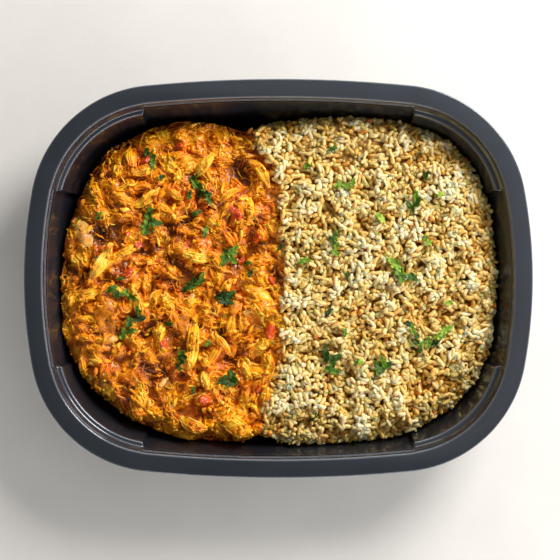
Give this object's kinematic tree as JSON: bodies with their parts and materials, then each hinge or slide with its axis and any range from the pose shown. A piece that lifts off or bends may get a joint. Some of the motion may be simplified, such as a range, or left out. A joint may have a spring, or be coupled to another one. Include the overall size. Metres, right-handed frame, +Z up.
{
  "type": "ready meal in a black plastic tray",
  "caption": "Black thermoformed plastic tray with a flat flange and corner stacking ledges, holding shredded chicken curry beside brown rice, scattered with chopped parsley.",
  "frame": {"origin": "middle of the tray's underside, on the surface that it stands on", "axes": "+X along the tray's long side from the curry to the rice, +Y to the tray's far long side, +Z up"},
  "size_m": [0.227, 0.178, 0.038],
  "materials": {
    "black_plastic": "thermoformed sheet, satin gloss",
    "curry": "wet orange-yellow curry sauce over shredded chicken",
    "rice": "cooked brown rice, slightly moist",
    "parsley": "chopped fresh parsley"
  },
  "bodies": {
    "root": {"tray": "black_plastic", "curry": "curry", "rice": "rice", "parsley_curry_1": "parsley", "parsley_curry_2": "parsley", "parsley_curry_3": "parsley", "parsley_curry_4": "parsley", "parsley_curry_5": "parsley", "parsley_curry_6": "parsley", "parsley_curry_7": "parsley", "parsley_curry_8": "parsley", "parsley_curry_9": "parsley", "parsley_rice_1": "parsley", "parsley_rice_2": "parsley", "parsley_rice_3": "parsley", "parsley_rice_4": "parsley", "parsley_rice_5": "parsley", "parsley_rice_6": "parsley", "parsley_rice_7": "parsley", "parsley_rice_8": "parsley"}
  },
  "joints": []
}
